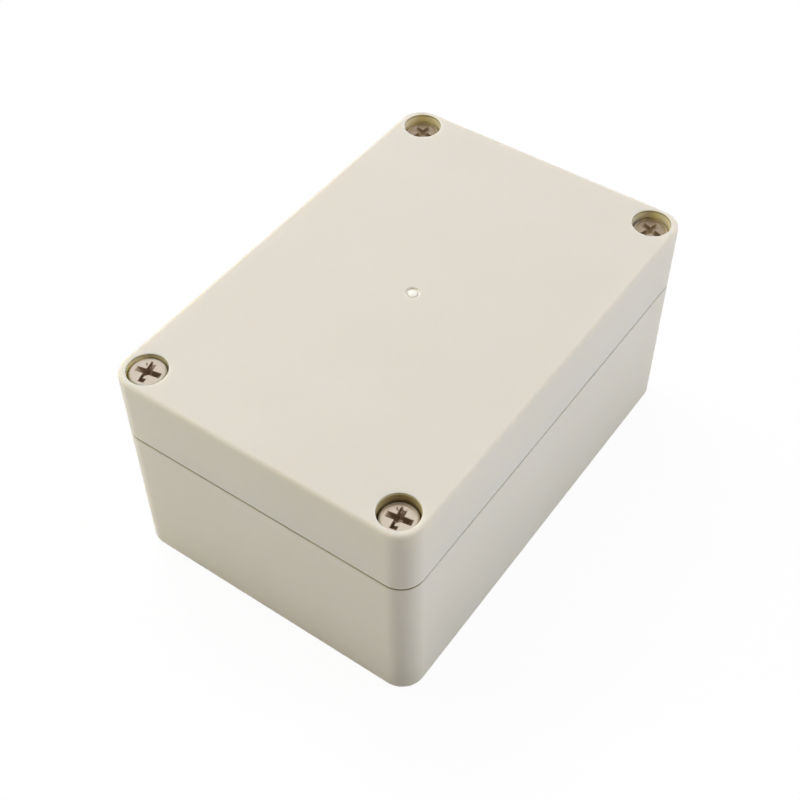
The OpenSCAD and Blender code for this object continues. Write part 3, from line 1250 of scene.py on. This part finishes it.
@dataclass(frozen=True)
class Gasket:
    """The rubber band in the lid's groove, pressed on the tongue."""

    plan: BoxPlan
    seal: Seal
    node: str = "gasket"
    soft_r: float = 0.35 * MM
    bend_r: float = 1.0 * MM

    def build(self, rubber: Material) -> Object:
        """Builds the gasket in its groove.

        Args:
            rubber: Its material.

        Returns:
            The finished piece.
        """
        low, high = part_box(self.node)
        seal = self.seal
        middle = (seal.tongue_in + seal.tongue_out) / 2
        width = seal.tongue_out - seal.tongue_in + 2 * (seal.clearance - seal.gasket_clearance)
        sizes = {"Width": width, "Height": high.z - low.z, "Soft": self.soft_r, "Bend": self.bend_r}
        tree = GeometryTree("gasket_cord", sizes, rubber)
        size = tree.inputs
        path = tree.add("GeometryNodeMeshToCurve", {"Mesh": size["Path"]})[0]
        rounded = self._fillet(tree, path, size["Bend"], 5)
        upright = add_node(tree.tree, "GeometryNodeSetCurveNormal", {"Curve": rounded})
        self._set_mode(upright, "Z Up")
        flat = {"Width": size["Width"], "Height": size["Height"]}
        block = tree.add("GeometryNodeCurvePrimitiveQuadrilateral", flat)[0]
        section = self._fillet(tree, block, size["Soft"], 4)
        cord = tree.add("GeometryNodeCurveToMesh", {"Curve": upright, "Profile Curve": section})[0]
        data = tree.mesh(cord, self.plan.cavity(middle))
        data.transform(Matrix.Translation((0.0, 0.0, (low.z + high.z) / 2)))
        band = Moulding()
        band.mesh.from_mesh(data)
        return band.object("gasket_cord", [rubber])

    @staticmethod
    def _set_mode(node: Node, mode: str) -> None:
        """Sets a node's mode, which is a menu input in some versions and a setting in others.

        Args:
            node: The node.
            mode: The mode's name, as a menu shows it.
        """
        if "Mode" in node.inputs:
            node.inputs["Mode"].default_value = mode
        else:
            node.mode = mode.upper().replace(" ", "_")

    def _fillet(self, tree: GeometryTree, curve: NodeSocket, radius: NodeSocket, count: int) -> NodeSocket:
        """Rounds the corners of a curve.

        Args:
            tree: The tree that the curve is in.
            curve: The curve.
            radius: The radius at its corners.
            count: How many points each corner gets.

        Returns:
            The rounded curve.
        """
        node = add_node(tree.tree, "GeometryNodeFilletCurve", {"Curve": curve, "Radius": radius})
        self._set_mode(node, "Poly")
        node.inputs["Count"].default_value = count
        node.inputs["Limit Radius"].default_value = True
        return node.outputs[0]


@dataclass(frozen=True)
class Lamp:
    """One square soft lamp that faces the box, with its direction in degrees as for a view."""

    name: str
    azimuth: float
    elevation: float
    power: float
    colour: str
    distance: float = 2.5
    size: float = 1.5

    def hang(self, aim: Vector) -> None:
        """Hangs the lamp.

        Args:
            aim: What it faces.
        """
        light = bpy.data.lights.new(self.name, "AREA")
        light.size = self.size
        light.energy = self.power
        light.color = linear(self.colour)[:3]
        holder = bpy.data.objects.new(self.name, light)
        back = direction(self.azimuth, self.elevation)
        holder.location = aim + back * self.distance
        holder.rotation_euler = (-back).to_track_quat("-Z", "Y").to_euler()
        # The bright screws would mirror a lamp and burn out, so they mirror only the white surroundings.
        holder.visible_glossy = False
        bpy.context.scene.collection.objects.link(holder)


@dataclass(frozen=True)
class Studio:
    """The pale floor, the soft lamps and the camera."""

    aim: tuple[float, float, float] = (-4.84 * MM, -2.97 * MM, 25.0 * MM)
    azimuth: float = -54.98
    elevation: float = 48.49
    distance: float = 274.4 * MM
    roll: float = -0.07
    lens: float = 59.93
    sensor: float = 36.0
    shift: Point = (-0.0135, -0.0011)
    world_level: float = 0.1
    floor_colour: str = "f7f6f3"
    floor_glow: float = 0.95
    floor_half: float = 12.0
    floor_gap: float = 0.05 * MM
    lamps: tuple[Lamp, ...] = (
        Lamp("left_softbox", -150.0, 22.0, power=3.08, colour="ffffec", distance=0.8, size=0.4),
        Lamp("right_softbox", 35.0, 22.0, power=39.0, colour="eef5ff"),
        Lamp("back_softbox", 155.0, 60.0, power=55.0, colour="f5f6ff"),
    )

    def build(self) -> None:
        """Sets up everything round the box."""
        self._floor()
        self._world()
        for lamp in self.lamps:
            lamp.hang(Vector(self.aim))
        self._camera()

    def _floor(self) -> None:
        """Lays the floor just under the box."""
        material, tree, place = new_material("floor_paper_matt")
        tooth = add_node(tree, "ShaderNodeTexNoise", {"Vector": place, "Scale": 900.0, "Detail": 2.0})
        bump = add_node(tree, "ShaderNodeBump", {"Strength": 0.05, "Distance": 0.02 * MM, "Height": tooth})
        surface = {
            "Base Color": linear(self.floor_colour),
            "Roughness": 0.9,
            "Specular IOR Level": 0.2,
            "Normal": bump,
        }
        paper = add_node(tree, "ShaderNodeBsdfPrincipled", surface)
        # The paper is nearly white to the viewer, and the lamps' light on it keeps the shadow.
        glow = add_node(tree, "ShaderNodeEmission", {"Color": WHITE, "Strength": 1.0})
        share = {0: seen_rays(tree), 1: self.floor_glow}
        seen = add_node(tree, "ShaderNodeMath", share, operation="MULTIPLY")
        mixed = add_node(tree, "ShaderNodeMixShader", {0: seen, 1: paper, 2: glow})
        add_node(tree, "ShaderNodeOutputMaterial", {0: mixed})
        data = bpy.data.meshes.new("floor")
        half, z = self.floor_half, CAD_BOX[0].z - self.floor_gap
        data.from_pydata([(sx * half, sy * half, z) for sx, sy in SIGNS], [], [(0, 1, 2, 3)])
        data.materials.append(material)
        in_scene("floor", data)

    def _world(self) -> None:
        """Lights the scene evenly, and shows as white to the camera and in reflections."""
        world = bpy.data.worlds.new("studio")
        bpy.context.scene.world = world
        world.use_nodes = True
        tree = world.node_tree
        tree.nodes.clear()
        ends = {"Value": seen_rays(tree), "To Min": self.world_level, "To Max": 1.0}
        level = add_node(tree, "ShaderNodeMapRange", ends)
        background = add_node(tree, "ShaderNodeBackground", {"Color": WHITE, "Strength": level})
        add_node(tree, "ShaderNodeOutputWorld", {0: background})

    def _camera(self) -> None:
        """Sets the camera at the viewing angle."""
        data = bpy.data.cameras.new("camera")
        data.lens, data.sensor_width = self.lens, self.sensor
        data.shift_x, data.shift_y = self.shift
        data.clip_start, data.clip_end = 0.01, 20.0
        camera = bpy.data.objects.new("camera", data)
        back = direction(self.azimuth, self.elevation)
        camera.location = Vector(self.aim) + back * self.distance
        level = (-back).to_track_quat("-Z", "Y").to_matrix()
        camera.rotation_euler = (level @ Matrix.Rotation(math.radians(self.roll), 3, "Z")).to_euler()
        bpy.context.scene.collection.objects.link(camera)
        bpy.context.scene.camera = camera


def seen_rays(tree: NodeTree) -> NodeSocket:
    """Tells the rays that show the surroundings from those that light the box.

    Args:
        tree: The tree that asks.

    Returns:
        1 for rays from the viewer, from reflections and through clear things, and 0 for the rest.
    """
    ray = add_node(tree, "ShaderNodeLightPath").outputs
    seen = ray["Is Camera Ray"]
    for other in ("Is Transmission Ray", "Is Glossy Ray"):
        seen = add_node(tree, "ShaderNodeMath", {0: seen, 1: ray[other]}, operation="MAXIMUM").outputs[0]
    return seen


def direction(azimuth: float, elevation: float) -> Vector:
    """The way from the box to a viewer, in degrees: azimuth 0 looks along +Y, with +X to the right."""
    a, e = math.radians(azimuth), math.radians(elevation)
    return Vector((math.sin(a) * math.cos(e), -math.cos(a) * math.cos(e), math.sin(e)))


def mount(piece: Object, body: str, node: str) -> None:
    """Ties a finished piece to the frame and reports it.

    Args:
        piece: The finished piece.
        body: The body that it moves with.
        node: The CAD node that it stands for.
    """
    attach(piece, body)
    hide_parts(node)
    LOG.info("%s rides on %s and stands for %s", piece.name, body, node)


def box_plan() -> BoxPlan:
    """Reads the box's plan from the frame.

    Returns:
        The plan.
    """
    low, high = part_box("lid")
    screw_low, screw_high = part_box("lid_screw_3")
    return BoxPlan(
        half_x=(high.x - low.x) / 2,
        half_y=(high.y - low.y) / 2,
        screw_x=(screw_low.x + screw_high.x) / 2,
        screw_y=(screw_low.y + screw_high.y) / 2,
    )


def lid_screws() -> list[LidScrew]:
    """Finishes the screws: the two on the left are worn and bright, the two on the right are duller.

    Returns:
        The four screws.
    """
    nickel, deeper_toned, edge, recess, dull_recess = (
        metal.material()
        for metal in (
            TurnedMetal("nickel_plated_steel", "dbcfc3", "cfc1ae", 0.30, patch=1.4 * MM, bump=0.25),
            # The two screws on the right have a darker nickel.
            TurnedMetal("nickel_darker_toned", "b5a692", "a3937e", 0.38, patch=1.4 * MM),
            # The rolled edge is rougher and less metallic, and its lighter colour is a painted highlight.
            TurnedMetal("nickel_rolled_edge_highlight", "e2dccd", "b5ad9d", 0.50, 0.35 * MM, 0.10 * MM, 0.5, 0.6),
            # The worn screws' recess colour is painted shade deep in the cross.
            TurnedMetal("steel_recess_painted_shade", "c0ae9c", "a99886", 0.45, patch=0.8 * MM),
            TurnedMetal("nickel_dull_recess", "ded2c0", "cdbfa9", 0.45, patch=0.8 * MM),
        )
    )
    bright = ScrewFinish(nickel, edge, recess, shine=0.2, worn=True)
    dull = ScrewFinish(deeper_toned, edge, dull_recess, shine=0.9, worn=False)
    return [
        LidScrew(Corner.FRONT_LEFT, 10.0, bright),
        LidScrew(Corner.FRONT_RIGHT, 73.0, dull),
        LidScrew(Corner.BACK_RIGHT, 78.0, dull),
        LidScrew(Corner.BACK_LEFT, 12.0, bright, cross_span=2.7),
    ]


def main() -> None:
    """Builds every piece in order, dresses it and sets the studio."""
    logging.basicConfig(level=logging.INFO, format="%(name)s: %(message)s")
    bpy.context.scene.view_settings.view_transform = "Standard"
    plan, seal, gate = box_plan(), Seal(), GateMark()
    lid_low, lid_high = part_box("lid")
    insert_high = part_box("thread_insert_1")[1]
    screw_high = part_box("lid_screw_1")[1]

    abs_plastic = MouldedAbs().material()
    brass = TurnedMetal("brass_turned", "c9a860", "b3924c", 0.28, 1.2 * MM, 0.10 * MM, 0.25).material()
    rubber = MouldedRubber().material()

    base = BaseShell(plan, seal, gate, rim_z=insert_high.z)
    mount(base.build(abs_plastic), "base", "base")
    lid = LidShell(
        plan,
        seal,
        gate,
        rim_z=lid_low.z,
        skirt_z=lid_low.z + PARTING_GAP,
        face_z=lid_high.z,
        # A hair under the heads, so that a seated screw and the lid don't share a face.
        seat_z=screw_high.z - LidScrew.head_h - SEAT_GAP,
    )
    mount(lid.build(abs_plastic), "lid", "lid")
    mount(Gasket(plan, seal).build(rubber), "lid", "gasket")
    for screw in lid_screws():
        corner = screw.corner
        mount(screw.build(), corner.named("screw"), corner.named("lid_screw"))
        mount(ThreadInsert(corner).build(brass), "base", corner.named("thread_insert"))
    Studio().build()


if __name__ == "__main__":
    main()
